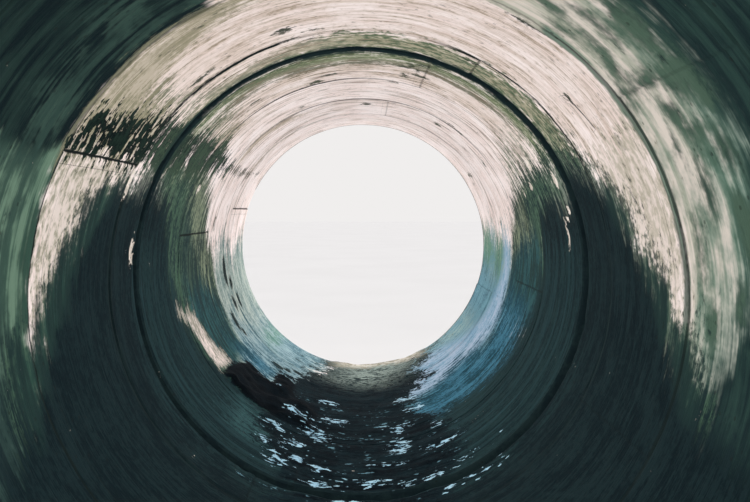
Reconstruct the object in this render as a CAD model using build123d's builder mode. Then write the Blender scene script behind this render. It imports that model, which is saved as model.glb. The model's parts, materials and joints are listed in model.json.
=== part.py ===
from build123d import *
import os

# Concrete culvert pipe, one length, lying level with its axis along Y.
# The groove end is at -Y, the tongue end at +Y, and the lowest line of the outside is at Z = 0.

# Wall
bore_radius = 500.0
wall_thickness = 120.0
laying_length = 3000.0
outer_edge_chamfer = 10.0
bore_edge_chamfer = 4.0

# In-wall joint: the tongue of one length enters the groove of the next
tongue_length = 84.0
tongue_wall = 54.0
joint_radial_clearance = 5.0
joint_end_clearance = 8.0
joint_lead_in = 8.0

# Recess right round the bore, measured from the tongue's tip to its nearer lip
recess_from_tip = 1597.0
recess_width = 38.0
recess_depth = 24.0
recess_lip_chamfer = 4.0

# Marks of the inner form: a ring of sheets is sheet_width long, and each ring has two sheets.
# The sheets start at the tip, and start anew on the groove side of the recess with a cut ring.
sheet_width = 400.0
cut_sheet_width = 170.0
sheet_edge_width = 8.0
sheet_edge_depth = 3.0
lap_width = 6.0
lap_depth = 2.5

# Where the two laps of each ring of sheets lie, in degrees from the crown towards +X, tip first.
# The other lap of a ring is always opposite.
lap_angles = [-72.0, 9.5, -81.0, 18.0, 28.0, -62.0, 51.0, -35.0]

# Derived sizes
outer_radius = bore_radius + wall_thickness
tongue_radius = bore_radius + tongue_wall
groove_radius = tongue_radius + joint_radial_clearance
groove_depth = tongue_length + joint_end_clearance
axis_height = outer_radius

# Places along the pipe
tip = (laying_length + tongue_length) / 2
near_end = -tip
shoulder = tip - tongue_length
groove_floor = near_end + groove_depth
recess_far = tip - recess_from_tip
recess_near = recess_far - recess_width


def sheet_edges(start, stop):
    """Places of the sheet edges from start down to stop, with none in the last sheet's width of room."""
    room = start - stop - sheet_edge_width - recess_lip_chamfer
    return [start - sheet_width * n for n in range(1, int(room // sheet_width) + 1)]


def at_wall(place, radius):
    """A point of the wall's section, at a place along the pipe and a distance from its axis."""
    return (place, axis_height + radius)


first_edge = recess_near - cut_sheet_width
far_edges = sheet_edges(tip, recess_far)
near_edges = [first_edge] + sheet_edges(first_edge, groove_floor)

# Both ends of each ring of sheets, tip first
far_ends = [tip] + far_edges + [recess_far]
near_ends = [recess_near] + near_edges + [groove_floor]
sheet_rings = list(zip(far_ends, far_ends[1:])) + list(zip(near_ends, near_ends[1:]))

with BuildPart() as pipe:
    with BuildSketch(Plane.YZ) as wall_section:
        # Outside, tongue, bore and groove
        with BuildLine():
            Polyline(
                at_wall(near_end, outer_radius - outer_edge_chamfer),
                at_wall(near_end + outer_edge_chamfer, outer_radius),
                at_wall(shoulder - outer_edge_chamfer, outer_radius),
                at_wall(shoulder, outer_radius - outer_edge_chamfer),
                at_wall(shoulder, tongue_radius),
                at_wall(tip - joint_lead_in, tongue_radius),
                at_wall(tip, tongue_radius - joint_lead_in),
                at_wall(tip, bore_radius + bore_edge_chamfer),
                at_wall(tip - bore_edge_chamfer, bore_radius),
                at_wall(groove_floor + bore_edge_chamfer, bore_radius),
                at_wall(groove_floor, bore_radius + bore_edge_chamfer),
                at_wall(groove_floor, groove_radius),
                at_wall(near_end + joint_lead_in, groove_radius),
                at_wall(near_end, groove_radius + joint_lead_in),
                close=True,
            )
        make_face()
        # Recess with broken lips
        with BuildLine():
            Polyline(
                at_wall(recess_near - recess_lip_chamfer, bore_radius),
                at_wall(recess_near, bore_radius + recess_lip_chamfer),
                at_wall(recess_near, bore_radius + recess_depth),
                at_wall(recess_far, bore_radius + recess_depth),
                at_wall(recess_far, bore_radius + recess_lip_chamfer),
                at_wall(recess_far + recess_lip_chamfer, bore_radius),
                close=True,
            )
        make_face(mode=Mode.SUBTRACT)
        # Shallow grooves that the edges of the sheets left round the bore
        for edge in far_edges + near_edges:
            with BuildLine():
                Polyline(
                    at_wall(edge - sheet_edge_width / 2, bore_radius),
                    at_wall(edge, bore_radius + sheet_edge_depth),
                    at_wall(edge + sheet_edge_width / 2, bore_radius),
                    close=True,
                )
            make_face(mode=Mode.SUBTRACT)
    revolve(axis=Axis((0, 0, axis_height), (0, 1, 0)))

    # Lap lines along the bore, cut outwards from the axis
    for ring_number, (ring_start, ring_end) in enumerate(sheet_rings):
        lap_angle = lap_angles[ring_number % len(lap_angles)]
        middle = (0, (ring_start + ring_end) / 2, axis_height)
        with Locations(Location(middle, (0, lap_angle, 0)), Location(middle, (0, lap_angle + 180, 0))):
            Box(
                lap_width,
                ring_start - ring_end,
                bore_radius + lap_depth,
                align=(Align.CENTER, Align.CENTER, Align.MIN),
                mode=Mode.SUBTRACT,
            )

pipe.part.label = "culvert_pipe"

os.makedirs("parts", exist_ok=True)
export_step(pipe.part, "parts/culvert_pipe.step")
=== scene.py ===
import json
import math

import bpy
import numpy as np
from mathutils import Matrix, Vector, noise


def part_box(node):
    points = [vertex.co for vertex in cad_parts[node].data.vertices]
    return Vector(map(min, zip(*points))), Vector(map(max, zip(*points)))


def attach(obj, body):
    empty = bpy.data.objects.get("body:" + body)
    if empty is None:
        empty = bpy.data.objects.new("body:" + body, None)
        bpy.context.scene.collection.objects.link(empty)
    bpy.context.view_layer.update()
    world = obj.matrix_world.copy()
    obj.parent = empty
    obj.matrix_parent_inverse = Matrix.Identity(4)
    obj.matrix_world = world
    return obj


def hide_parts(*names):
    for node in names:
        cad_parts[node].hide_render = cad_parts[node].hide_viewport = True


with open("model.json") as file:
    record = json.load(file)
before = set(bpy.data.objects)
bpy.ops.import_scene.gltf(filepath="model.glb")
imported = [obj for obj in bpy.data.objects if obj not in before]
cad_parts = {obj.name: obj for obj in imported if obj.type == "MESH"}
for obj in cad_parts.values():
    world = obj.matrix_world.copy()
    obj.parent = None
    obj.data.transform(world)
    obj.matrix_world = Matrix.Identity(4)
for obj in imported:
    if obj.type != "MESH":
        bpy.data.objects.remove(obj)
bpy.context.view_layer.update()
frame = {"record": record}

# The concrete pipe lies along Y, tongue end at +Y. All sizes are in metres, and angles round the bore are in
# degrees from the crown, positive towards +X. "Reach" is the distance back from the tongue's tip.

mounts = {mount["name"]: mount for mount in frame["record"]["mounts"]}


def mount_radius(name):
    """Radius of a round mount, in metres."""
    return mounts[name]["dims"]["r_mm"] / 1000


# Sizes of the wall, from the frame
low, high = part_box("culvert_pipe")
near_end = low.y
tip = high.y
axis_height = mounts["bore"]["pos_m"][2]
outer_radius = (high.x - low.x) / 2
bore_radius = mount_radius("bore")
tongue_radius = mount_radius("tongue")
groove_radius = mount_radius("groove")
shoulder_reach = tip - mounts["shoulder_face"]["pos_m"][1]
groove_reach = tip - mounts["groove"]["pos_m"][1] - mounts["groove"]["dims"]["length_mm"] / 2000
length = tip - near_end

# Edges, recess and form marks of the wall
edge_chamfer = 0.010
lead_in = 0.008
bore_chamfer = 0.004
recess_reach = 1.597
recess_width = 0.038
recess_depth = 0.024
sheet_width = 0.400
cut_sheet_width = 0.170
sheet_edge_depth = 0.003
sheet_edge_half = 0.004
lap_depth = 0.0025
lap_half_width = 0.003
lap_angles = [-72.0, 9.5, -81.0, 18.0, 28.0, -62.0, 51.0, -35.0]

recess_end = recess_reach + recess_width
sheet_edges = [sheet_width * n for n in (1, 2, 3)]
sheet_edges += [recess_end + cut_sheet_width + sheet_width * n for n in (0, 1, 2)]
ring_starts = [0.0] + sheet_edges[:3] + [recess_end] + sheet_edges[3:]
ring_stops = sheet_edges[:3] + [recess_reach] + sheet_edges[3:] + [groove_reach]


def metres_round(degrees):
    """Length along the bore's circumference of an angle."""
    return np.radians(degrees) * bore_radius


def srgb(red, green, blue):
    """An sRGB colour, 0 to 255, as linear values for a socket."""
    scaled = [value / 255 for value in (red, green, blue)]
    linear = [v / 12.92 if v <= 0.04045 else ((v + 0.055) / 1.055) ** 2.4 for v in scaled]
    return (*linear, 1.0)


# Stains on the bore, and painted light, painted shade and painted reflections, are zones, painted in the
# order below. A zone has outlines of (reach, angle) corners, with angles past 180 where one crosses the
# bottom, and two tones. It fades over "fade" metres to each side of its edge, noise of its kind moves its
# edge by up to about "breakup" metres, and "cover" is how strongly it covers. "deep" limits the distance from
# the edge and
# "lack" takes from it, so that only the peaks of the noise show.
ZONES = []


def zone(name, outlines, tones, fade, breakup, cover, kind="streaky", deep=0.2, lack=0.0):
    """Adds a zone to the list."""
    values = dict(outlines=outlines, fade=fade, breakup=breakup, cover=cover, kind=kind, deep=deep, lack=lack)
    values["tones"] = [srgb(*tone) for tone in tones]
    ZONES.append((name, values))


def band(start, stop, low_angle, high_angle):
    """Outline of a patch between two reaches and two angles."""
    return [(start, low_angle), (start, high_angle), (stop, high_angle), (stop, low_angle)]


def patches(*places):
    """Small eight-sided outlines, each at a (reach, angle, half length in metres, half width in degrees)."""
    turns = [math.radians(45 * n + 22.5) for n in range(8)]
    return [[(place + half_length * math.cos(t), angle + half_width * math.sin(t)) for t in turns]
            for place, angle, half_length, half_width in places]


# Ground tone of the lower half
zone("lower_ground", [band(0.60, 3.1, 114, 246)], [(60, 92, 96), (40, 66, 70)], 0.05, 0.05, 1.0)

# Pale upper part
zone("brown_wash",
     [[(2.2, -60), (2.2, 66), (1.6, 60), (1.3, 40), (1.2, -10), (1.3, -54), (1.6, -58)]],
     [(200, 180, 166), (184, 166, 148)], 0.08, 0.08, 0.6, deep=0.02, lack=0.02)
zone("olive_near",
     [[(1.70, -60), (1.73, -24), (1.79, -4), (1.79, 22), (1.775, 40), (1.79, 62), (1.62, 62), (1.62, -60)]],
     [(168, 162, 138), (78, 98, 72)], 0.03, 0.07, 0.96, kind="grainy")
zone("olive_far",
     [[(1.60, -60), (1.60, 62), (1.48, 62), (1.475, 34), (1.47, 16), (1.44, -8), (1.48, -24), (1.50, -40),
       (1.44, -60)]],
     [(128, 138, 104), (62, 82, 58)], 0.05, 0.09, 1.0)
zone("beige",
     [[(1.48, -56), (1.48, 64), (1.22, 62), (1.30, 10), (1.32, -20), (1.0, -40), (1.1, -56)],
      [(2.2, -61), (2.2, -24), (1.9, -20), (1.7, -10), (1.64, -61)]],
     [(220, 202, 192), (198, 180, 166)], 0.08, 0.10, 0.5)
zone("olive_line", [band(1.474, 1.44, -62, 46)], [(104, 112, 88), (70, 82, 66)], 0.01, 0.03, 0.7)
zone("brown_bands", [band(0.80, 0.72, -52, -24), band(0.41, 0.37, -55, -22), band(1.30, 1.16, -56, -40)],
     [(184, 164, 148), (160, 148, 124)], 0.02, 0.05, 0.7)
zone("rising_green",
     [[(2.195, -64), (2.195, -50), (2.0, -42), (1.8, -40), (1.6, -36), (1.4, -36), (1.2, -42), (1.1, -54),
       (1.1, -64)],
      [(1.90, 68), (1.80, 50), (1.62, 44), (1.45, 44), (1.30, 45), (1.12, 51), (0.96, 59), (0.90, 68)]],
     [(150, 154, 128), (72, 94, 72)], 0.05, 0.13, 0.85, deep=0.03, lack=0.03)
zone("crown_streaks",
     [[(2.2, -58), (2.2, 60), (1.2, 60), (1.2, -54)]],
     [(104, 104, 84), (140, 126, 106)], 0.025, 0.11, 0.65, deep=0.01, lack=0.065)
zone("crown_arcs",
     [[(1.8, -58), (1.8, 60), (0.05, 58), (0.05, -54)]],
     [(150, 128, 108), (112, 104, 86)], 0.02, 0.12, 0.75, kind="arcs", deep=0.01, lack=0.085)
zone("ring_lines",
     [[(1.5, 56), (0.9, 66), (0.02, 84), (0.02, -86), (0.7, -86), (1.0, -60), (1.5, -58)]],
     [(96, 80, 66), (140, 122, 106)], 0.007, 0.01, 0.6, kind="lines", deep=0.0, lack=0.004)
zone("near_ring_lines",
     [[(2.2, -58), (2.2, 60), (1.66, 56), (1.66, -58)]],
     [(120, 102, 86), (160, 142, 124)], 0.006, 0.01, 0.35, kind="lines", deep=0.0, lack=0.008)
zone("crown_marks", patches(
       (1.894, -16.7, 0.024, 2.6), (1.805, -16.2, 0.012, 2.2), (1.845, -12.8, 0.012, 1.6),
       (1.848, -10, 0.012, 1.6), (1.775, -11.8, 0.012, 1.4), (1.34, -33, 0.012, 2), (1.25, -14, 0.012, 1.6),
       (1.32, -10, 0.01, 1.6), (1.19, 10, 0.01, 1.6), (0.88, -21.5, 0.014, 1), (1.14, -49, 0.01, 2),
       (2.09, 58.5, 0.008, 2.4), (1.97, 74, 0.008, 1.2), (2.10, 71, 0.024, 1), (0.68, 2, 0.03, 2.4),
       (0.70, -78, 0.012, 3.4), (0.82, 34, 0.012, 1), (0.80, 38, 0.012, 1), (0.67, 30, 0.012, 1),
       (0.71, 53, 0.012, 1), (0.51, 78, 0.014, 1), (0.24, 55.5, 0.05, 0.8), (1.99, 46.5, 0.012, 1.2),
       (2.212, 23.8, 0.022, 1.8), (2.18, 31, 0.010, 4), (2.08, 59.5, 0.020, 1.2),
       (1.50, 13.5, 0.045, 0.7), (1.43, 15.5, 0.03, 0.7), (1.45, 12, 0.012, 1.8), (1.38, 17, 0.010, 2.4),
       (1.34, 12.5, 0.03, 0.6), (1.53, 16.5, 0.014, 2.0), (1.76, 27, 0.012, 3), (1.86, -37, 0.010, 3)),
     [(34, 46, 38), (66, 74, 58)], 0.007, 0.018, 0.95, kind="blotchy")

# Near end
zone("near_right_pale",
     [[(2.19, 14), (2.19, 99), (2.4, 126), (3.1, 130), (3.1, 4), (2.4, 8)]],
     [(212, 202, 192), (172, 173, 158)], 0.02, 0.04, 0.97, kind="soft")
zone("near_right_mottle",
     [[(2.30, 47), (2.24, 58), (2.26, 72), (2.24, 100), (2.4, 126), (3.1, 130), (3.1, 8), (2.46, 20),
       (2.42, 40)]],
     [(78, 106, 92), (112, 134, 118)], 0.09, 0.13, 0.7, kind="patchy", deep=0.03, lack=0.03)
zone("near_right_green",
     [[(2.27, 93), (2.26, 126), (3.1, 130), (3.1, 8), (2.48, 20), (2.45, 46), (2.40, 60), (2.37, 72),
       (2.34, 84)]],
     [(112, 142, 128), (82, 114, 100)], 0.09, 0.10, 0.92, kind="soft")
# Partly painted shade, darker towards the near end, and partly dark damp stain
zone("near_right_dark",
     [[(2.46, 8), (2.46, 50), (2.47, 64), (2.45, 78), (2.38, 87), (2.34, 92), (2.30, 98), (2.28, 103),
       (2.28, 126), (3.1, 130), (3.1, 8)]],
     [(26, 42, 44), (42, 64, 60)], 0.05, 0.07, 1.0, kind="soft")
zone("near_right_strokes", patches(
       (2.47, 52, 0.022, 5), (2.35, 56, 0.030, 4), (2.34, 69, 0.024, 6), (2.30, 62, 0.016, 4),
       (2.44, 42, 0.034, 6), (2.42, 76, 0.018, 6), (2.28, 47, 0.020, 4), (2.26, 80, 0.012, 6),
       (2.36, 38, 0.018, 6), (2.44, 64, 0.030, 4), (2.28, 51, 0.05, 2), (2.34, 50.5, 0.05, 2.4),
       (2.42, 52.5, 0.05, 3), (2.24, 50.5, 0.024, 2.5), (2.31, 31, 0.016, 6), (2.25, 35, 0.012, 5),
       (2.30, 92, 0.020, 4), (2.38, 88, 0.016, 5), (2.38, 60, 0.04, 2), (2.30, 41, 0.012, 4)),
     [(34, 54, 50), (72, 94, 80)], 0.022, 0.036, 0.95, kind="patchy")
zone("near_crown",
     [[(2.44, -24), (2.50, -8), (2.50, 24), (3.1, 24), (3.1, -24)]],
     [(92, 102, 88), (56, 72, 66)], 0.06, 0.10, 0.95, kind="soft")
zone("near_pale",
     [[(2.197, -62), (2.197, -100), (1.93, -76), (1.80, -62)],
      [(2.197, 56), (2.197, 104), (2.0, 88), (1.86, 62)]],
     [(220, 207, 199), (182, 174, 158)], 0.03, 0.05, 0.92, kind="grainy")
zone("near_left_veins",
     [[(2.20, -63), (2.20, -96), (1.92, -66), (1.9, -63)]],
     [(120, 126, 110), (150, 148, 132)], 0.02, 0.10, 0.7, kind="grainy", deep=0.01, lack=0.035)
zone("near_left_green",
     [[(2.208, -58), (2.208, -97), (2.29, -112), (2.30, -140), (3.1, -144), (3.1, -58)]],
     [(102, 128, 110), (60, 86, 75)], 0.012, 0.03, 1.0, kind="soft")
zone("near_left_streaks",
     [[(2.26, -60), (2.28, -97), (2.30, -112), (2.30, -140), (3.1, -144), (3.1, -58)]],
     [(32, 50, 50), (56, 78, 70)], 0.06, 0.13, 0.95, kind="soft", deep=0.04, lack=0.026)
zone("near_left_low",
     [[(2.235, -97), (2.50, -95), (3.1, -90), (3.1, -146), (2.26, -140)]],
     [(46, 66, 63), (32, 48, 49)], 0.06, 0.09, 1.0, kind="soft")
# Partly painted shade, darker towards the near end, and partly dark damp stain
zone("near_left_dark",
     [[(2.19, -27), (2.20, -40), (2.215, -61), (2.27, -63), (2.5, -62), (3.1, -62), (3.1, -6), (2.5, -8),
       (2.36, -22), (2.27, -25)]],
     [(18, 31, 34), (35, 53, 50)], 0.012, 0.02, 1.0, kind="soft")
zone("near_left_glow", [band(2.24, 2.40, -24, -60)],
     [(78, 104, 92), (50, 72, 66)], 0.05, 0.14, 0.75, kind="soft", deep=0.02, lack=0.03)
zone("near_edge_tan",
     [[(2.21, -14), (2.15, -18), (2.09, -30), (2.0, -48), (1.80, -47), (1.80, -61.6), (2.212, -61.6)]],
     [(178, 168, 148), (140, 136, 112)], 0.03, 0.05, 0.85)
zone("near_edge_bands", [band(2.183, 2.214, 34, 112)],
     [(46, 64, 58), (92, 116, 102)], 0.007, 0.014, 0.85, kind="soft")
zone("near_left_edge", [band(2.206, 2.25, -72, -106)],
     [(28, 48, 44), (50, 76, 66)], 0.018, 0.03, 0.85, kind="soft")

# Far end, lower sides. Most zones here are painted light: lighter where light comes in at the far mouth, with
# painted reflections of the sky in blue and pale violet and of plants in green.
# Painted light from the far mouth, in grey
zone("far_left_grey",
     [[(0.68, -90), (0.5, -85), (0.3, -91), (0.12, -85), (-0.1, -90), (-0.1, -165), (1.0, -165),
       (0.95, -126), (0.78, -104)]],
     [(160, 172, 164), (98, 124, 122)], 0.05, 0.09, 0.95)
# Painted reflection of the sky
zone("far_left_blue",
     [[(0.85, -116), (0.6, -118), (0.3, -124), (-0.1, -128), (-0.1, -165), (0.85, -165)]],
     [(134, 162, 170), (70, 106, 120)], 0.10, 0.12, 0.85)
zone("far_left_dashes", patches(
       (0.474, -98, 0.030, 6.5), (0.398, -103.5, 0.020, 2.8), (0.448, -112, 0.020, 3.6),
       (0.359, -112, 0.018, 3), (0.578, -118, 0.020, 4.4), (0.548, -124, 0.016, 2),
       (0.542, -143, 0.026, 2.8), (0.512, -147.5, 0.020, 2), (0.46, -152, 0.020, 3)),
     [(18, 28, 30), (36, 50, 50)], 0.006, 0.014, 1.0, lack=-0.003)
# Painted reflection of green plants
zone("far_left_lichen", [band(0.36, 0.02, -132, -138)],
     [(108, 146, 120), (94, 134, 110)], 0.04, 0.06, 0.5, kind="blotchy")
# Painted light from the far mouth, in blue-grey
zone("far_right_grey",
     [[(0.72, 90), (0.55, 83), (0.4, 88), (0.25, 79), (0.1, 86), (-0.1, 81), (-0.1, 168), (1.1, 168),
       (1.0, 112), (0.86, 94)]],
     [(100, 142, 156), (146, 172, 172)], 0.04, 0.09, 1.0)
# Painted reflection of green plants
zone("far_right_green",
     [[(0.62, 88), (0.45, 82), (0.3, 88), (0.15, 80), (-0.1, 84), (-0.1, 93), (0.15, 98), (0.3, 94),
       (0.48, 104), (0.6, 100)]],
     [(110, 146, 120), (82, 122, 104)], 0.045, 0.10, 0.88)
# Painted reflection of the sky
zone("far_right_blue",
     [[(0.50, 108), (0.2, 103), (-0.1, 101), (-0.1, 117), (0.2, 119), (0.48, 122)]],
     [(118, 162, 176), (56, 102, 122)], 0.06, 0.10, 0.85)
# Painted reflection of the sky, pale violet
zone("lavender",
     [[(0.62, 84), (0.52, 84), (0.50, 100), (0.43, 118), (0.34, 130), (0.17, 144), (0.08, 156), (0.78, 166),
       (0.70, 140), (0.69, 128), (0.72, 114), (0.66, 100)]],
     [(172, 188, 208), (120, 160, 186)], 0.05, 0.07, 0.92)

# Algae on the sides, and a painted reflection of the sky in blue
zone("algae",
     [[(1.56, -58), (1.2, -58), (1.05, -60), (0.95, -65), (0.88, -70), (0.80, -79), (0.76, -84),
       (0.70, -87), (0.67, -92), (0.66, -110), (0.68, -130), (1.25, -130), (1.4, -90), (1.56, -64)],
      [(1.58, 65), (1.45, 61), (1.35, 58), (1.25, 60), (1.1, 62), (1.0, 65), (0.9, 69), (0.8, 74),
       (0.74, 78), (0.70, 82), (0.67, 88), (0.67, 108), (1.0, 108), (1.3, 72), (1.56, 70)]],
     [(114, 128, 102), (42, 64, 56)], 0.035, 0.06, 0.95)
zone("algae_dark",
     [[(1.40, -64), (1.20, -66), (1.06, -76), (0.95, -88), (0.86, -94), (0.80, -104), (0.84, -128),
       (1.3, -128)],
      [(1.40, 60), (1.20, 64), (1.06, 72), (0.98, 84), (1.0, 100), (1.2, 90), (1.4, 70)]],
     [(50, 74, 68), (34, 54, 54)], 0.05, 0.08, 0.9)
zone("teal",
     [[(1.24, -92), (1.0, -100), (0.85, -99), (0.72, -103), (0.67, -110), (0.68, -132), (1.3, -134)],
      [(1.3, 78), (0.85, 84), (0.75, 88), (0.68, 95), (0.68, 110), (0.9, 118), (1.3, 118)]],
     [(48, 84, 86), (32, 58, 64)], 0.04, 0.06, 1.0)
zone("dark_streaks", [band(0.985, 0.955, -88, -128), band(0.90, 0.88, -84, -128), band(0.81, 0.79, -84, -124),
                      band(0.725, 0.71, -96, -126)],
     [(24, 40, 42), (40, 58, 58)], 0.006, 0.022, 0.85)
zone("algae_lines",
     [[(1.56, -60), (1.0, -62), (0.7, -88), (0.67, -128), (1.3, -128), (1.56, -66)],
      [(1.58, 62), (1.3, 56), (0.9, 70), (0.68, 88), (0.68, 108), (1.0, 108), (1.3, 80), (1.56, 70)]],
     [(22, 36, 34), (44, 62, 54)], 0.008, 0.01, 0.8, kind="lines", deep=0.0)
# Painted reflection of the sky, in blue, on the damp sides
zone("blue",
     [[(1.25, 107), (0.85, 105), (0.70, 105), (0.67, 108), (0.73, 125), (0.62, 128), (0.56, 140),
       (0.74, 158), (0.85, 168), (1.25, 168)],
      [(0.82, -127), (0.66, -127), (0.58, -136), (0.64, -147), (0.84, -146)]],
     [(62, 112, 134), (26, 62, 74)], 0.07, 0.12, 1.0)

# Dark film on the lower half, partly a dark damp stain and partly painted shade, and the tide line above it
zone("film_fringe",
     [[(2.3, -97), (2.19, -95), (2.06, -79), (1.95, -69), (1.86, -64), (1.75, -62), (1.6, -60), (1.4, -60),
       (1.24, -64), (1.14, -90), (1.0, -126), (1.1, -160), (2.4, -140)],
      [(2.3, 102), (2.19, 92), (2.1, 84), (1.96, 70), (1.85, 60), (1.7, 54), (1.6, 55), (1.4, 60),
       (1.1, 64), (1.04, 76), (1.14, 96), (1.16, 150), (2.4, 140)]],
     [(72, 98, 80), (32, 50, 50)], 0.03, 0.07, 0.85, kind="blotchy")
zone("film",
     [[(3.1, -118), (2.5, -118), (2.38, -113), (2.30, -107), (2.24, -102), (2.20, -98), (2.14, -92),
       (2.07, -85), (1.99, -77), (1.93, -71), (1.87, -67), (1.78, -67), (1.7, -68), (1.62, -65),
       (1.55, -66), (1.45, -70), (1.36, -76), (1.32, -84), (1.30, -94), (1.26, -104), (1.22, -112),
       (1.16, -120), (1.12, -128), (1.1, -150), (1.1, -190), (3.1, -190)],
      [(3.1, 110), (2.5, 109), (2.38, 108), (2.28, 105), (2.22, 102), (2.18, 99), (2.13, 95), (2.09, 91),
       (2.05, 87), (2.0, 83), (1.95, 77), (1.90, 72), (1.85, 68), (1.78, 64), (1.70, 61), (1.63, 60),
       (1.57, 70), (1.45, 71), (1.35, 68), (1.25, 71), (1.18, 76), (1.14, 84), (1.16, 94), (1.16, 106),
       (1.14, 125), (1.10, 152), (1.0, 190), (3.1, 190)]],
     [(17, 29, 33), (26, 41, 44)], 0.035, 0.05, 1.0)
zone("film_far_edge",
     [[(1.6, -80), (1.32, -84), (1.16, -112), (1.06, -150), (1.06, -185), (1.7, -185)],
      [(1.6, 76), (1.22, 84), (1.06, 110), (1.02, 150), (1.0, 185), (1.7, 185)]],
     [(20, 36, 40), (30, 50, 52)], 0.08, 0.10, 1.0)
zone("near_film_edge",
     [[(2.27, -100), (2.19, -94), (2.07, -82), (1.93, -69), (1.86, -66), (1.93, -78), (2.07, -93),
       (2.27, -112)],
      [(2.27, 103), (2.18, 95), (2.09, 87), (2.0, 79), (1.9, 69), (1.84, 66), (1.9, 74), (2.0, 84),
       (2.09, 93), (2.27, 107)]],
     [(46, 74, 66), (32, 50, 49)], 0.03, 0.05, 0.95, kind="soft")
zone("film_sheen", [band(1.17, 1.44, -137, -159)],
     [(88, 134, 134), (46, 76, 80)], 0.04, 0.12, 0.65, deep=0.03, lack=0.02)
zone("film_glow",
     [[(1.66, -92), (1.30, -92), (1.10, -150), (1.15, -172), (1.66, -172)],
      [(1.57, 76), (1.2, 84), (1.05, 120), (1.05, 160), (1.57, 160)]],
     [(50, 80, 84), (36, 60, 64)], 0.06, 0.13, 0.5, kind="arcs", deep=0.02, lack=0.055)
zone("tide_line",
     [[(1.81, -61.5), (1.68, -61), (1.4, -60), (1.2, -60), (1.0, -59), (0.86, -58.5), (0.84, -54.5),
       (1.0, -51.5), (1.2, -50), (1.4, -50), (1.6, -49), (1.81, -49)]],
     [(16, 30, 31), (58, 76, 62)], 0.012, 0.06, 1.0, deep=0.02, lack=-0.008)
zone("tide_line_near",
     [[(2.20, -61.7), (1.80, -61.7), (1.80, -49), (1.90, -51), (1.98, -52), (2.06, -53), (2.13, -52.5),
       (2.17, -53.5), (2.185, -57)]],
     [(6, 14, 17), (26, 42, 36)], 0.006, 0.05, 1.0, kind="grainy", deep=0.022)
zone("tide_line_thin",
     [[(0.84, -57.5), (0.6, -58.5), (0.5, -57), (0.4, -57), (0.18, -55.5), (0.18, -53.5), (0.4, -54.5),
       (0.6, -54.5), (0.84, -54)]],
     [(96, 96, 78), (60, 64, 52)], 0.006, 0.03, 0.85, deep=0.01, lack=0.006)

# Bottom. Its pale blue specks and wet patches carry painted glints.
zone("dark_silt",
     [[(3.1, 140), (1.65, 158), (1.5, 152), (1.3, 150), (1.1, 152), (1.0, 155), (0.9, 160), (0.7, 162),
       (0.55, 156), (0.5, 151), (0.4, 156), (0.3, 158), (0.2, 150), (-0.1, 147), (-0.1, 196), (0.2, 197),
       (0.3, 200), (0.4, 205), (0.55, 208), (0.65, 211), (0.8, 218), (1.0, 215), (1.2, 215), (1.4, 211),
       (1.5, 206), (1.65, 200), (3.1, 220)]],
     [(7, 15, 20), (19, 34, 39)], 0.008, 0.06, 1.0, kind="blotchy")
zone("grit",
     [[(0.46, 172), (0.37, 162), (0.28, 158), (0.18, 152), (-0.1, 149), (-0.1, 196), (0.2, 195),
       (0.32, 198), (0.42, 194), (0.46, 184)]],
     [(150, 164, 156), (30, 44, 46)], 0.11, 0.20, 0.95, kind="grainy")
zone("sand",
     [[(0.12, 152), (-0.1, 147), (-0.1, 196), (0.1, 192), (0.07, 172)]],
     [(210, 202, 190), (140, 136, 120)], 0.03, 0.05, 0.85, kind="grainy")
# Painted glints: pale blue specks on the wet dark silt
zone("silt",
     [[(1.7, 146), (1.7, 214), (0.7, 214), (0.75, 158), (1.2, 146)]],
     [(52, 84, 94), (104, 142, 156)], 0.008, 0.06, 0.75, kind="grainy", deep=0.02, lack=0.061)
zone("scraped",
     [[(1.27, -103), (1.20, -109), (1.16, -116), (1.13, -127), (0.96, -128.5), (1.03, -118), (1.10, -107),
       (1.17, -106)]],
     [(234, 218, 212), (150, 146, 134)], 0.006, 0.05, 1.0)
# Dried mud, a crust with real relief; its near-black tone also stands for the shadow it casts, painted
zone("mud",
     [[(1.14, -128), (0.98, -128.5), (0.80, -132), (0.80, -139), (0.82, -143), (0.62, -145), (0.66, -152),
       (0.88, -154), (0.9, -164), (1.13, -163)]],
     [(6, 11, 15), (13, 21, 26)], 0.004, 0.014, 1.0, kind="blotchy")
# Wet patches with painted glints: their pale blue tones are painted reflections of the sky, and they are
# glossier
zone("wet_patches", patches(
       (1.57, -168.5, 0.03, 4), (1.46, -168.5, 0.04, 3), (1.48, -156, 0.06, 3.6), (1.36, -151, 0.02, 4),
       (1.15, -165, 0.07, 5), (1.22, -151, 0.025, 3.5), (0.85, -144, 0.02, 3.5), (1.655, 150, 0.018, 8),
       (1.57, 163, 0.012, 9), (1.52, 146, 0.006, 7), (1.34, 157, 0.03, 5), (1.25, 169, 0.05, 3),
       (0.88, 160, 0.035, 3), (1.66, -176, 0.02, 4), (1.42, -162, 0.03, 5), (1.30, -158, 0.02, 4),
       (1.05, -158, 0.03, 5), (0.98, -170, 0.03, 5), (1.08, 168, 0.03, 4), (1.40, 172, 0.02, 5),
       (1.15, 156, 0.02, 3), (1.53, 178, 0.02, 5), (0.72, 163, 0.02, 4), (0.75, -166, 0.02, 5)),
     [(74, 132, 162), (160, 200, 220)], 0.005, 0.055, 0.92, kind="grainy", deep=0.02, lack=0.017)

# Round the recess, and on the tip's edge. The recess and the halo round it are painted shade over dark stain
# and algae, and the band at the tip is the painted shadow of its chamfer.
# Painted shade beside the recess, over green algae stain
zone("recess_halo", [band(1.652, 1.580, -64, 64)], [(62, 84, 68), (36, 54, 50)], 0.012, 0.016, 0.95)
# Painted shade in the recess, over dark dirt
zone("recess_stain", [band(1.641, 1.591, -200, 200)], [(25, 38, 42), (32, 47, 49)], 0.004, 0.003, 1.0)
# Painted shadow of the tip's chamfer
zone("tip_edge", [band(0.017, -0.1, -62, 140)], [(50, 48, 44), (84, 76, 68)], 0.005, 0.006, 0.85)

STRAIGHT = [(-180, 0), (180, 0)]

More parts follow.
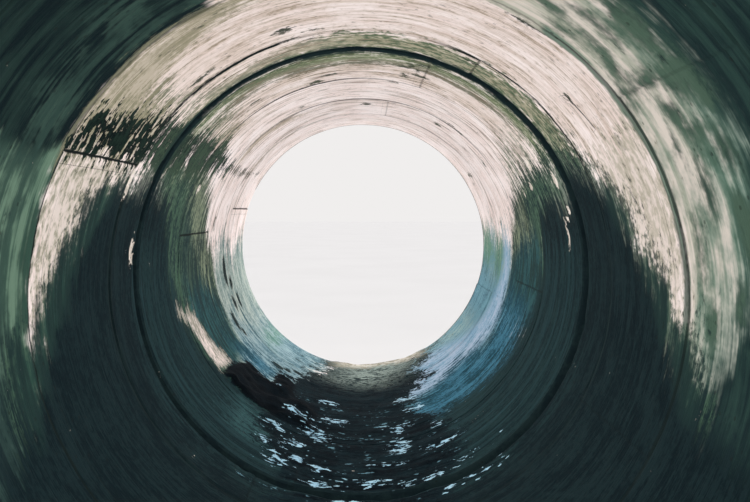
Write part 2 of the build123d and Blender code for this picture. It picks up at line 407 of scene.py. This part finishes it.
# Dark lines round the bore: reach, half width, strength by (angle, strength), and how far back the line
# bends by (angle, metres). The first six run along the sheet edges.
EDGE_LINES = [
    (0.400, 0.013, [(-180, 0.1), (-60, 0.2), (-30, 0.55), (0, 0.35), (30, 0.5), (60, 0.2), (180, 0.1)],
     STRAIGHT),
    (0.800, 0.012, [(-180, 0.15), (-60, 0.2), (-30, 0.6), (30, 0.6), (60, 0.3), (180, 0.1)],
     STRAIGHT),
    (1.200, 0.011, [(-180, 0.1), (-60, 0.3), (-40, 0.9), (-15, 1.0), (0, 0.6), (12, 0.3), (35, 0.6),
                    (60, 0.3), (180, 0.1)],
     [(-40, 0), (-20, 0.012), (-5, 0.020), (5, 0.018), (30, 0)]),
    (1.805, 0.010, [(-180, 0.2), (-60, 0.5), (-45, 1.0), (-19, 1.0), (-14, 0.4), (-6, 0.1), (14, 0.1),
                    (20, 0.6), (24, 1.0), (62, 1.0), (72, 0.3), (180, 0.2)],
     STRAIGHT),
    (2.205, 0.006, [(-180, 0.6), (-97, 1.0), (-62, 1.0), (-55, 0.5), (-30, 0.5), (0, 0.4), (40, 0.5),
                    (54, 0.7), (90, 0.7), (180, 0.4)],
     STRAIGHT),
    (2.605, 0.004, [(-180, 0.3), (180, 0.3)], STRAIGHT),
    (1.990, 0.004, [(45, 0), (46, 1.0), (54, 0.8), (56, 0)], [(46, 0), (55, 0.014)]),
]

# Strength of the dark line at the two laps of each ring of sheets
LAP_LINES = [(0.85, 0.2), (0.3, 0.2), (0.9, 0.5), (0.45, 0.2), (0.5, 0.2), (1.0, 0.2), (0.12, 0.2),
             (0.3, 0.2)]
SHEET_RINGS = list(zip(ring_starts, ring_stops, lap_angles, LAP_LINES))

# Places where the skin of the concrete broke off: reach, angle, half length, half width and depth
SPALLS = [
    (1.660, -84.0, 0.016, 0.034, 0.006),
    (1.700, -83.5, 0.008, 0.006, 0.003),
    (1.800, -66.0, 0.008, 0.040, 0.004),
    (1.120, -66.0, 0.026, 0.016, 0.004),
    (1.525, 64.0, 0.018, 0.022, 0.005),
    (1.545, 73.0, 0.012, 0.012, 0.005),
    (1.505, 75.5, 0.020, 0.010, 0.005),
    (1.480, 80.0, 0.010, 0.034, 0.006),
    (1.330, 57.5, 0.026, 0.024, 0.005),
    (1.230, 65.0, 0.016, 0.014, 0.004),
    (1.165, 60.5, 0.022, 0.014, 0.004),
    (1.090, 67.0, 0.010, 0.010, 0.004),
    (1.572, 16.0, 0.006, 0.020, 0.003),
    (1.550, 22.5, 0.016, 0.005, 0.003),
]

# Crusts of dried mud and silt on the bottom: zone and usual thickness
CRUSTS = [("dark_silt", 0.006), ("mud", 0.020)]

# Spacing of the mesh. Its rows along the bore are (from, to, step), closer where small marks lie.
ROW_STEPS = [
    (0.03, 1.05, 0.017),
    (1.05, 1.86, 0.0125),
    (1.86, 2.48, 0.02),
    (2.48, groove_reach - 0.02, 0.034),
]
least_row_gap = 0.007
column_step = 1.0
least_column_gap = 0.35
long_shell_step = 0.3
shell_step = 0.028
sharp_angle = 38

# Limits of the fields that the material reads, in metres, and for edge lines in half widths
farthest_outside = -0.2
lap_field_half = 0.02
farthest_from_line = 8.0

# Relief of the bore, in metres
broad_waves = 0.0010
fine_waves = 0.0007
sheet_step = 0.0014
recess_corner = 0.003
lip_chip_depth = 0.008
lip_chip_reach = 0.014
crust_edge = 0.03

# Relief of the outside, the ends and the joint, in metres
wear = 0.0006
shell_waves = 0.0014
edge_chip_depth = 0.012
edge_room = 0.004

# Watts of the lamps along the bore, groove end first, and in the far mouth, and the sun's strength
BORE_LAMPS = [4.6, 4.8, 4.9, 4.6, 3.7, 0.8]
mouth_lamp = 2.2
sun_strength = 2.0

# Camera: how far it stands from the tip, above the axis and to the side, in metres, and how far it looks
# down and aside, in degrees
camera_reach = 3.4622
camera_above = 0.1435
camera_aside = 0.0067
camera_down = 2.706
camera_turn = 0.717


def rough(points, scale, octaves=3, shift=0.0):
    """Fractal noise at each point, about -1 to 1. A scale of three numbers stretches it."""
    scaled = points * np.asarray(scale) + shift
    return np.array([noise.fractal(place, 0.9, 2.0, octaves) for place in scaled.tolist()])


def spaced(start, stop, step):
    """Evenly spaced places from start up to, and not at, stop."""
    count = max(1, round((stop - start) / step))
    return list(np.linspace(start, stop, count, endpoint=False))


def thinned(plain, exact, room):
    """The exact values and those plain ones that lie at least room from all of them, in order."""
    kept = [value for value in plain if min(abs(value - other) for other in exact) >= room]
    return sorted(kept + list(exact))


def bore_stations():
    """(reach, radius) pairs along the bore, from the tip to the groove, closer together at its marks."""
    plain = [place for steps in ROW_STEPS for place in spaced(*steps)]
    exact = [2 * bore_chamfer, 4 * bore_chamfer, groove_reach - bore_chamfer]
    for edge in sheet_edges:
        exact += [edge + offset * sheet_edge_half for offset in (-3, -1, 0, 1, 3)]
    for margin in (3 * bore_chamfer, bore_chamfer):
        exact += [recess_reach - margin, recess_end + margin]
    places = thinned(plain, exact, least_row_gap)
    before = [(place, bore_radius) for place in places if place < recess_reach]
    after = [(place, bore_radius) for place in places if place > recess_end]
    recess = [
        (recess_reach, bore_radius + bore_chamfer),
        (recess_reach, bore_radius + recess_depth / 2),
        (recess_reach + recess_corner, bore_radius + recess_depth),
        (recess_end - recess_corner, bore_radius + recess_depth),
        (recess_end, bore_radius + recess_depth / 2),
        (recess_end, bore_radius + bore_chamfer),
    ]
    return before + recess + after


def wall_stations():
    """The closed section of the wall as (reach, radius, part of the wall), once round."""
    stations = [(bore_chamfer, bore_radius, "bore")]
    stations += [(reach, radius, "bore") for reach, radius in bore_stations()]
    outline = [
        (groove_reach, bore_radius + bore_chamfer),
        (groove_reach, groove_radius),
        (length - lead_in, groove_radius),
        (length, groove_radius + lead_in),
        (length, outer_radius - edge_chamfer),
        (length - edge_chamfer, outer_radius),
        (shoulder_reach + edge_chamfer, outer_radius),
        (shoulder_reach, outer_radius - edge_chamfer),
        (shoulder_reach, tongue_radius),
        (lead_in, tongue_radius),
        (0.0, tongue_radius - lead_in),
        (0.0, bore_radius + bore_chamfer),
        (bore_chamfer, bore_radius),
    ]
    for start, stop in zip(outline, outline[1:]):
        gap = math.dist(start, stop)
        step = long_shell_step if gap > 1 else shell_step
        count = max(1, round(gap / step))
        stations += [(*place, "shell") for place in np.linspace(start, stop, count, endpoint=False)]
    return stations


def columns():
    """Angles round the wall, with extra ones at the lap lines."""
    exact = []
    half_lap = math.degrees(lap_half_width / bore_radius)
    for lap in lap_angles:
        for angle in (lap, (lap + 360) % 360 - 180):
            exact += [angle + step * half_lap for step in (-1.5, -0.5, 0.5, 1.5)]
    return np.array(thinned(spaced(-180.0, 180.0, column_step), exact, least_column_gap))


def signed_inside(outline, reach, angle):
    """Distance in metres from each place to an outline, positive inside it."""
    corners = np.array([(place, metres_round(turn)) for place, turn in outline])
    x, y = reach, metres_round(angle)
    nearest = np.full(x.shape, np.inf)
    crossed = np.zeros(x.shape, bool)
    for (ax, ay), (bx, by) in zip(corners, np.roll(corners, -1, axis=0)):
        dx, dy = bx - ax, by - ay
        share = np.clip(((x - ax) * dx + (y - ay) * dy) / (dx * dx + dy * dy), 0, 1)
        nearest = np.minimum(nearest, np.hypot(x - ax - share * dx, y - ay - share * dy))
        if ay != by:
            crossed ^= ((ay > y) != (by > y)) & (x < ax + (y - ay) / (by - ay) * dx)
    return np.where(crossed, nearest, -nearest)


def zone_field(values, reach, angle):
    """Distance inside a zone's outline, which may cross the bottom of the bore."""
    inside = np.full(reach.shape, farthest_outside)
    for outline in values["outlines"]:
        angles = [corner[1] for corner in outline]
        for turn in (-360, 0, 360):
            if min(angles) - turn < 200 and max(angles) - turn > -200:
                inside = np.maximum(inside, signed_inside(outline, reach, angle + turn))
    return inside.clip(farthest_outside, values["deep"]) - values["lack"]


def bump_shape(share):
    """1 at 0, falling smoothly to 0 at 1 and beyond."""
    return (1 - np.clip(share, 0, 1) ** 2) ** 2


def turned_from(angle, other):
    """Signed length round the bore from one angle to others."""
    return metres_round((angle - other + 180) % 360 - 180)


class Wall:
    """The wall's grid: one row for each station and one column for each angle."""

    def __init__(self):
        stations = wall_stations()
        turns = columns()
        self.shape = (len(stations), len(turns))
        self.reach = self.rows([s[0] for s in stations])
        self.radius = self.rows([s[1] for s in stations])
        self.bore = self.rows([s[2] == "bore" for s in stations])
        self.angle = np.tile(turns, self.shape[0]).reshape(self.shape)
        height = axis_height + self.radius * np.cos(np.radians(self.angle))
        self.fields = {"bore": self.bore.astype(float), "height": height}
        for name, values in ZONES:
            self.fields[name] = zone_field(values, self.reach, self.angle)

    def rows(self, values):
        return np.repeat(values, self.shape[1]).reshape(self.shape)

    def places(self):
        """The grid's points, in the row frame."""
        turn = np.radians(self.angle)
        x = self.radius * np.sin(turn)
        z = axis_height + self.radius * np.cos(turn)
        return np.stack([x, tip - self.reach, z], axis=-1).reshape(-1, 3)

    def noise(self, scale, octaves=3, shift=0.0):
        return rough(self.places(), scale, octaves, shift).reshape(self.shape)


def mark_lines(wall):
    """Fields for the dark lines at the sheet edges and laps: how far off each is, and how strong."""
    gap = np.full(wall.shape, farthest_from_line)
    strength = np.zeros(wall.shape)
    for place, half_width, strengths, bends in EDGE_LINES:
        bend = np.interp(wall.angle, *zip(*bends))
        strong = np.interp(wall.angle, *zip(*strengths))
        apart = (wall.reach - place - bend) / half_width
        nearer = (np.abs(apart) < np.abs(gap)) & (strong > 0)
        gap = np.where(nearer, apart, gap)
        strength = np.where(nearer, strong, strength)
    wall.fields["edge_gap"] = gap
    wall.fields["edge_strength"] = strength

    gap = np.full(wall.shape, lap_field_half)
    strength = np.zeros(wall.shape)
    for start, stop, lap, strengths in SHEET_RINGS:
        inside = (wall.reach >= start) & (wall.reach <= stop)
        for other, strong in zip((lap, lap + 180), strengths):
            apart = turned_from(wall.angle, other)
            nearer = inside & (np.abs(apart) < lap_field_half)
            gap = np.where(nearer, apart, gap)
            strength = np.where(nearer, strong, strength)
    wall.fields["lap_gap"] = gap
    wall.fields["lap_strength"] = strength


def relieve_bore(wall):
    """Gives the bore its real relief: sheet marks, laps, broken spots, unevenness and crusts."""
    reach, angle, bore = wall.reach, wall.angle, wall.bore
    generator = np.random.default_rng(31)
    offset = broad_waves * wall.noise(3.0, 3) + fine_waves * wall.noise((7, 30, 7), 3, 5.0)

    # Each ring of sheets has two sheets, and each sheet stands a little proud of or behind its neighbours
    patchy = np.clip(0.7 + 0.9 * wall.noise((6, 9, 6), 3, 17.0), 0.15, 1)
    for start, stop, lap, strengths in SHEET_RINGS:
        inside = (reach > start) & (reach < stop)
        turned = (angle - lap) % 360
        for side in (turned < 180, turned >= 180):
            offset += np.where(inside & side, generator.uniform(-sheet_step, sheet_step), 0)
        for other, strong in zip((lap, lap + 180), strengths):
            at_lap = inside & (np.abs(turned_from(angle, other)) < lap_half_width)
            offset += np.where(at_lap, lap_depth * patchy * min(1, 0.2 + strong), 0)

    # Grooves at the sheet edges, uneven in depth
    uneven = np.clip(0.75 + 0.5 * wall.noise((9, 2, 9), 3, 11.0), 0.1, 1.5)
    for edge in sheet_edges:
        share = np.clip(1 - np.abs(reach - edge) / sheet_edge_half, 0, 1)
        offset += sheet_edge_depth * share * uneven

    # Broken spots
    ragged = 0.4 * wall.noise((38, 60, 38), 3, 3.0)
    broken = np.zeros(wall.shape)
    for place, turn, half_length, half_width, depth in SPALLS:
        across = turned_from(angle, turn) / half_width
        share = np.hypot((reach - place) / half_length, across) + ragged
        offset += depth * bump_shape(np.clip(share, 0, None) * 0.9)
        broken = np.maximum(broken, np.clip(1.6 - share, 0, 1))
    wall.fields["broken"] = broken

    # Crusts of dried mud and silt on the bottom, which stand proud of the concrete
    lumpy = np.clip(0.6 + 0.7 * wall.noise(11.0, 3, 7.0), 0, 1.5)
    for name, thickness in CRUSTS:
        covered = np.clip(wall.fields[name] / crust_edge, 0, 1)
        offset -= covered * thickness * lumpy

    # Broken lips of the recess, and nothing in its depth
    above_recess = wall.radius < bore_radius + 1.5 * bore_chamfer
    for lip in (recess_reach, recess_end):
        near_lip = bump_shape(np.abs(reach - lip) / lip_chip_reach)
        chips = np.clip(wall.noise((13, 12, 13), 4, lip * 9) - 0.3, 0, 1)
        offset += np.where(above_recess, lip_chip_depth * near_lip * chips, 0)

    wall.radius += np.where(bore, offset, 0)


def relieve_shell(wall):
    """Gives the outside, the ends and the joint a cast surface with worn edges. It only takes away."""
    shell = ~wall.bore
    past_tongue = wall.radius > tongue_radius + 2 * edge_chamfer
    worn = wear + shell_waves * np.abs(wall.noise(5.0, 3, 21.0))
    wall.radius -= np.where(shell & past_tongue, worn, 0)
    for reach, radius in (
        (length, outer_radius - edge_chamfer),
        (length - edge_chamfer, outer_radius),
        (shoulder_reach, outer_radius - edge_chamfer),
        (shoulder_reach + edge_chamfer, outer_radius),
    ):
        at_reach = np.abs(wall.reach - reach) < edge_room / 2
        at_radius = np.abs(wall.radius - radius) < edge_room
        chips = np.clip(wall.noise((17, 17, 17), 4, reach) - 0.12, 0, 1)
        wall.radius -= np.where(shell & at_reach & at_radius, edge_chip_depth * chips, 0)


def wall_mesh(name):
    """Builds the wall's mesh, with the fields that its material reads at each point."""
    wall = Wall()
    mark_lines(wall)
    relieve_bore(wall)
    relieve_shell(wall)

    rows, around = wall.shape
    row, column = np.meshgrid(np.arange(rows), np.arange(around), indexing="ij")
    next_row, next_column = (row + 1) % rows, (column + 1) % around
    corners = [row * around + column, row * around + next_column]
    corners += [next_row * around + next_column, next_row * around + column]
    faces = np.stack([corner.ravel() for corner in corners], axis=-1)
    mesh = bpy.data.meshes.new(name)
    mesh.from_pydata(wall.places().tolist(), [], faces.tolist())
    mesh.polygons.foreach_set("use_smooth", [True] * len(mesh.polygons))
    mesh.set_sharp_from_angle(angle=math.radians(sharp_angle))

    # Three fields to a vector attribute
    names = list(wall.fields)
    for first in range(0, len(names), 3):
        packed = np.zeros((rows * around, 3), np.float32)
        for axis, field in enumerate(names[first:first + 3]):
            packed[:, axis] = wall.fields[field].ravel()
        attribute = mesh.attributes.new(f"fields_{first // 3}", "FLOAT_VECTOR", "POINT")
        attribute.data.foreach_set("vector", packed.ravel())
    return mesh, names


class Nodes:
    """Short calls for building the nodes of a material or world."""

    def __init__(self, owner, field_names=()):
        owner.use_nodes = True
        self.tree = owner.node_tree
        self.tree.nodes.clear()
        self.field_names = list(field_names)
        self.vectors = {}

    def add(self, kind, **settings):
        node = self.tree.nodes.new(kind)
        for name, value in settings.items():
            setattr(node, name, value)
        return node

    def feed(self, socket, value):
        """Links an output to a socket, or sets the socket to a plain value."""
        if isinstance(value, bpy.types.NodeSocket):
            self.tree.links.new(value, socket)
        else:
            socket.default_value = value

    def math(self, operation, *values):
        node = self.add("ShaderNodeMath", operation=operation)
        for socket, value in zip(node.inputs, values):
            self.feed(socket, value)
        return node.outputs[0]

    def total(self, *shares):
        """Sum of (value, factor) pairs, each value taken from the middle, 0.5."""
        result = -0.5 * sum(factor for value, factor in shares)
        for value, factor in shares:
            result = self.math("MULTIPLY_ADD", value, factor, result)
        return result

    def spread(self, value, low, high, to_low=0.0, to_high=1.0):
        """Maps low..high to to_low..to_high smoothly, held at both ends."""
        node = self.add("ShaderNodeMapRange", clamp=True, interpolation_type="SMOOTHSTEP")
        for socket, given in zip(node.inputs, (value, low, high, to_low, to_high)):
            self.feed(socket, given)
        return node.outputs[0]

    def mix(self, factor, first, second):
        node = self.add("ShaderNodeMix", data_type="RGBA")
        self.feed(node.inputs["Factor"], factor)
        self.feed(node.inputs[6], first)
        self.feed(node.inputs[7], second)
        return node.outputs[2]

    def field(self, name):
        """Value of one of the mesh's fields, which lie three to a vector attribute."""
        number, axis = divmod(self.field_names.index(name), 3)
        if number not in self.vectors:
            attribute = self.add("ShaderNodeAttribute", attribute_name=f"fields_{number}")
            apart = self.add("ShaderNodeSeparateXYZ")
            self.feed(apart.inputs[0], attribute.outputs["Vector"])
            self.vectors[number] = apart.outputs
        return self.vectors[number][axis]

    def place(self, stretch=(1, 1, 1), shift=(0, 0, 0)):
        """Places on the object in metres, stretched and shifted."""
        node = self.add("ShaderNodeMapping")
        self.feed(node.inputs["Vector"], self.add("ShaderNodeTexCoord").outputs["Object"])
        node.inputs["Scale"].default_value = stretch
        node.inputs["Location"].default_value = shift
        return node.outputs[0]

    def noise(self, scale, detail=4.0, roughness=0.55, stretch=(1, 1, 1), shift=(0, 0, 0)):
        node = self.add("ShaderNodeTexNoise")
        self.feed(node.inputs["Vector"], self.place(stretch, shift))
        node.inputs["Scale"].default_value = scale
        node.inputs["Detail"].default_value = detail
        node.inputs["Roughness"].default_value = roughness
        return node.outputs["Fac"]

    def cells(self, scale):
        node = self.add("ShaderNodeTexVoronoi")
        self.feed(node.inputs["Vector"], self.place())
        node.inputs["Scale"].default_value = scale
        return node.outputs["Distance"]

    def surface(self, shader, kind="ShaderNodeOutputMaterial"):
        """Makes a shader the surface of the material or world."""
        self.feed(self.add(kind).inputs["Surface"], shader.outputs[0])


class ConcreteNodes(Nodes):
    """Nodes of the aged concrete, with the noises that its parts share."""

    def __init__(self, material, field_names):
        super().__init__(material, field_names)
        self.mottle = self.noise(11, 4, 0.6, shift=(9, 4, 2))
        self.streak = self.noise(5.5, 4, 0.62, stretch=(1, 9, 1), shift=(1, 6, 3))
        self.hair = self.noise(16, 3, 0.65, stretch=(1, 14, 1), shift=(2, 2, 5))
        self.grain = self.noise(80, 3, 0.65)
        self.broad = self.noise(2.2, 2, 0.55, shift=(4, 7, 1))
        self.arc = self.noise(2.6, 4, 0.62, stretch=(1, 16, 1), shift=(5, 3, 2))
        self.fleck = self.noise(34, 3, 0.62, stretch=(1, 1.8, 1), shift=(7, 3, 9))
        self.edges = self.zone_edges()
        self.second_tones = self.kind_tones()
        self.usual_tone = self.second_tones["streaky"]

    def kind_tones(self):
        """How much of a zone's second tone shows, from 0 to 1, for each kind of zone."""
        mottle, streak, hair, grain, arc = self.mottle, self.streak, self.hair, self.grain, self.arc
        usual = self.share(0.17, (streak, 1.0), (hair, 1.2), (grain, 0.9), (mottle, 0.8), (arc, 0.4))
        tones = dict.fromkeys(self.edges, usual)
        tones["patchy"] = self.share(0.25, (mottle, 2.4), (grain, 0.6), (self.broad, 0.8))
        tones["soft"] = self.share(0.2, (arc, 1.4), (streak, 0.9), (mottle, 0.7))
        tones["grainy"] = self.share(0.2, (self.fleck, 1.6), (grain, 0.8), (mottle, 0.8))
        return tones

    def zone_edges(self):
        """The noise that moves a zone's edge, for each kind of zone."""
        mottle, streak, hair = self.mottle, self.streak, self.hair
        grain, arc, fleck = self.grain, self.arc, self.fleck
        contour = self.noise(1.4, 3, 0.55, stretch=(1, 9, 1), shift=(3, 8, 6))

        # Thin lines where the contour noise passes its middle
        off_line = self.math("ABSOLUTE", self.total((contour, 1.0)))
        line_width = self.math("ADD", 1.0, self.total((mottle, 3.0)))
        return {
            "streaky": self.total((streak, 2.6), (hair, 2.0), (grain, 1.6), (mottle, 1.4), (arc, 1.6)),
            "blotchy": self.total((mottle, 3.6), (grain, 3.2), (hair, 1.2)),
            "soft": self.total((mottle, 3.0), (streak, 1.0), (arc, 2.6)),
            "arcs": self.total((arc, 4.4), (hair, 1.4), (grain, 0.6)),
            "patchy": self.total((mottle, 4.2), (grain, 0.8), (streak, 0.8)),
            "grainy": self.total((fleck, 4.0), (grain, 1.5), (mottle, 1.5)),
            "lines": self.math("MULTIPLY_ADD", off_line, -60.0, line_width),
        }

    def share(self, half_width, *shares):
        return self.spread(self.total(*shares), -half_width, half_width)

    def tone(self, first, second):
        """Two tones mixed by the usual noises."""
        return self.mix(self.usual_tone, first, second)

    def layer(self, colour, noise, low, high, strength, tone):
        """Lays a tone over a colour where a noise is high."""
        return self.mix(self.spread(noise, low, high, 0, strength), colour, tone)


def clean_concrete(n):
    """Bare concrete in the bore, with fine streaks round it."""
    colour = n.mix(n.spread(n.mottle, 0.38, 0.62), srgb(246, 233, 230), srgb(238, 221, 216))
    colour = n.layer(colour, n.streak, 0.52, 0.66, 0.5, srgb(206, 187, 178))
    colour = n.layer(colour, n.arc, 0.55, 0.66, 0.55, srgb(196, 174, 162))
    colour = n.layer(colour, n.hair, 0.57, 0.69, 0.55, srgb(150, 132, 120))
    return n.layer(colour, n.grain, 0.60, 0.72, 0.45, srgb(140, 127, 118))


def lay_zones(n, colour):
    """Lays the zones of stain, painted light, painted shade and painted reflections over a colour. Gives the
    colour and where it is wet, which is also where glints are painted.
    """
    masks = {}
    for name, values in ZONES:
        kind = values["kind"]
        distance = n.math("MULTIPLY_ADD", n.edges[kind], values["breakup"], n.field(name))
        masks[name] = n.spread(distance, -values["fade"], values["fade"], 0, values["cover"])
        colour = n.mix(masks[name], colour, n.mix(n.second_tones[kind], *values["tones"]))
    return colour, masks["wet_patches"]


def draw_lines(n, colour):
    """Dark lines at the sheet edges and laps."""
    ragged = n.edges["streaky"]
    wander = n.total((n.mottle, 1.0))
    edge_gap = n.math("ABSOLUTE", n.math("MULTIPLY_ADD", wander, 2.5, n.field("edge_gap")))
    edge_line = n.spread(n.math("MULTIPLY_ADD", ragged, -0.5, edge_gap), 0.5, 1.3, 1, 0)
    colour = n.mix(n.math("MULTIPLY", edge_line, n.field("edge_strength")), colour, srgb(26, 34, 33))
    lap_gap = n.math("ABSOLUTE", n.math("MULTIPLY_ADD", wander, 0.004, n.field("lap_gap")))
    lap_line = n.spread(n.math("MULTIPLY_ADD", ragged, -0.0008, lap_gap), 0.0016, 0.0036, 1, 0)
    return n.mix(n.math("MULTIPLY", lap_line, n.field("lap_strength")), colour, srgb(26, 32, 32))


def break_spots(n, colour):
    """Fresh pale concrete in the broken spots."""
    broken = n.spread(n.math("MULTIPLY_ADD", n.edges["blotchy"], 0.5, n.field("broken")), 0.62, 0.76)
    return n.mix(broken, colour, n.tone(srgb(236, 226, 216), srgb(190, 180, 168)))


def outside_concrete(n):
    """Plain weathered concrete outside and at the ends, with soil at the bottom and a dark crown."""
    colour = n.mix(n.spread(n.mottle, 0.36, 0.64), srgb(206, 197, 187), srgb(188, 179, 168))
    colour = n.layer(colour, n.broad, 0.42, 0.64, 0.6, srgb(164, 158, 146))
    colour = n.layer(colour, n.arc, 0.48, 0.66, 0.7, srgb(150, 142, 128))
    colour = n.layer(colour, n.streak, 0.55, 0.70, 0.5, srgb(128, 124, 110))
    colour = n.layer(colour, n.grain, 0.56, 0.72, 0.5, srgb(140, 132, 122))
    soil = n.math("MULTIPLY_ADD", n.edges["blotchy"], -0.05, n.field("height"))
    soil_tone = n.tone(srgb(122, 108, 88), srgb(92, 84, 70))
    colour = n.mix(n.spread(soil, 0.03, 0.11, 0.85, 0), colour, soil_tone)
    lichen = n.math("MULTIPLY_ADD", n.edges["blotchy"], 0.35, n.field("height"))
    return n.layer(colour, lichen, 1.22, 1.40, 0.7, n.tone(srgb(122, 124, 108), srgb(90, 94, 84)))


def concrete(name, field_names):
    """Aged concrete, pale and blotchy, with the bore's zones of stain, painted shade and painted reflections
    laid over it.
    """
    material = bpy.data.materials.new(name)
    n = ConcreteNodes(material, field_names)
    stained, wet = lay_zones(n, clean_concrete(n))
    inside = break_spots(n, draw_lines(n, stained))
    colour = n.mix(n.field("bore"), outside_concrete(n), inside)
    pits = n.math("MULTIPLY", n.spread(n.cells(38), 0.09, 0.15, 1, 0), n.spread(n.mottle, 0.46, 0.56))
    colour = n.mix(n.math("MULTIPLY", pits, 0.5), colour, srgb(30, 34, 33))

    shader = n.add("ShaderNodeBsdfPrincipled")
    n.feed(shader.inputs["Base Color"], colour)
    n.feed(shader.inputs["Roughness"], n.math("SUBTRACT", 0.9, n.math("MULTIPLY", wet, 0.6)))
    shader.inputs["Specular IOR Level"].default_value = 0.05
    bump = n.add("ShaderNodeBump")
    bump.inputs["Strength"].default_value = 0.5
    bump.inputs["Distance"].default_value = 0.004
    n.feed(bump.inputs["Height"], n.total((n.hair, 0.6), (n.grain, 0.6)))
    n.feed(shader.inputs["Normal"], bump.outputs[0])
    n.surface(shader)
    return material


def lay_pipe():
    """Puts the visible wall in the place of the plain one."""
    mesh, field_names = wall_mesh("pipe_wall")
    mesh.materials.append(concrete("concrete", field_names))
    pipe = bpy.data.objects.new("pipe_wall", mesh)
    bpy.context.scene.collection.objects.link(pipe)
    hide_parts("culvert_pipe")
    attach(pipe, "root")


def floor_material():
    """Plain pale floor, very faintly clouded."""
    material = bpy.data.materials.new("floor_paint")
    n = Nodes(material)
    shader = n.add("ShaderNodeBsdfPrincipled")
    cloudy = n.spread(n.noise(0.8, 3), 0.3, 0.7)
    n.feed(shader.inputs["Base Color"], n.mix(cloudy, srgb(240, 238, 237), srgb(237, 235, 234)))
    shader.inputs["Roughness"].default_value = 0.9
    shader.inputs["Specular IOR Level"].default_value = 0.1
    n.surface(shader)
    return material


def lay_floor():
    """A wide floor at the ground's height, out to the horizon."""
    half = 60.0
    mesh = bpy.data.meshes.new("floor")
    corners = [(-half, -half, 0), (half, -half, 0), (half, half, 0), (-half, half, 0)]
    mesh.from_pydata(corners, [], [(0, 1, 2, 3)])
    floor = bpy.data.objects.new("floor", mesh)
    bpy.context.scene.collection.objects.link(floor)
    mesh.materials.append(floor_material())


def background(n, colour, strength):
    """A world shader of one colour."""
    node = n.add("ShaderNodeBackground")
    node.inputs["Color"].default_value = colour
    node.inputs["Strength"].default_value = strength
    return node.outputs[0]


def light_world():
    """Soft even light from all round, which shows as a plain pale backdrop."""
    world = bpy.data.worlds.new("studio")
    bpy.context.scene.world = world
    n = Nodes(world)
    lit = background(n, srgb(250, 250, 252), 0.56)
    seen = background(n, srgb(240, 238, 237), 1.0)
    ray = n.add("ShaderNodeLightPath").outputs
    shows = n.math("MAXIMUM", ray["Is Camera Ray"], ray["Is Glossy Ray"])
    shows = n.math("MAXIMUM", shows, ray["Is Transmission Ray"])
    mixed = n.add("ShaderNodeMixShader")
    for socket, value in zip(mixed.inputs, (shows, lit, seen)):
        n.feed(socket, value)
    n.surface(mixed, "ShaderNodeOutputWorld")


def hang_lamp(name, kind, place, energy, turn=(0, 0, 0), **settings):
    """Adds a lamp that neither the camera nor a reflection sees."""
    lamp = bpy.data.lights.new(name, kind)
    lamp.energy = energy
    for setting, value in settings.items():
        setattr(lamp, setting, value)
    lamp_object = bpy.data.objects.new(name, lamp)
    lamp_object.location = place
    lamp_object.rotation_euler = [math.radians(angle) for angle in turn]
    lamp_object.visible_camera = False
    lamp_object.visible_glossy = False
    bpy.context.scene.collection.objects.link(lamp_object)


def hang_lamps():
    """A soft sun, a lamp in the far mouth, and small lamps along the axis that light the bore evenly."""
    hang_lamp("sun", "SUN", (0, 0, 6), sun_strength, (-28, 36, 0), angle=math.radians(50))
    mouth = (0, tip + 0.15, axis_height)
    hang_lamp("mouth", "AREA", mouth, mouth_lamp, (90, 0, 180), shape="DISK", size=0.9)
    for number, watts in enumerate(BORE_LAMPS):
        share = (number + 0.5) / len(BORE_LAMPS)
        place = (0, near_end + share * length, axis_height)
        hang_lamp(f"bore_{number}", "POINT", place, watts, shadow_soft_size=0.12)


def aim_camera():
    """Stands just outside the groove end, looking along the bore and out of the tongue end."""
    camera = bpy.data.cameras.new("camera")
    camera.lens = 40
    camera.sensor_width = 36
    camera.clip_start = 0.01
    camera_object = bpy.data.objects.new("camera", camera)
    camera_object.location = (camera_aside, tip - camera_reach, axis_height + camera_above)
    camera_object.rotation_euler = (math.radians(90 - camera_down), 0, math.radians(-camera_turn))
    bpy.context.scene.collection.objects.link(camera_object)
    bpy.context.scene.camera = camera_object


lay_pipe()
lay_floor()
light_world()
hang_lamps()
aim_camera()
bpy.context.scene.view_settings.view_transform = "Standard"
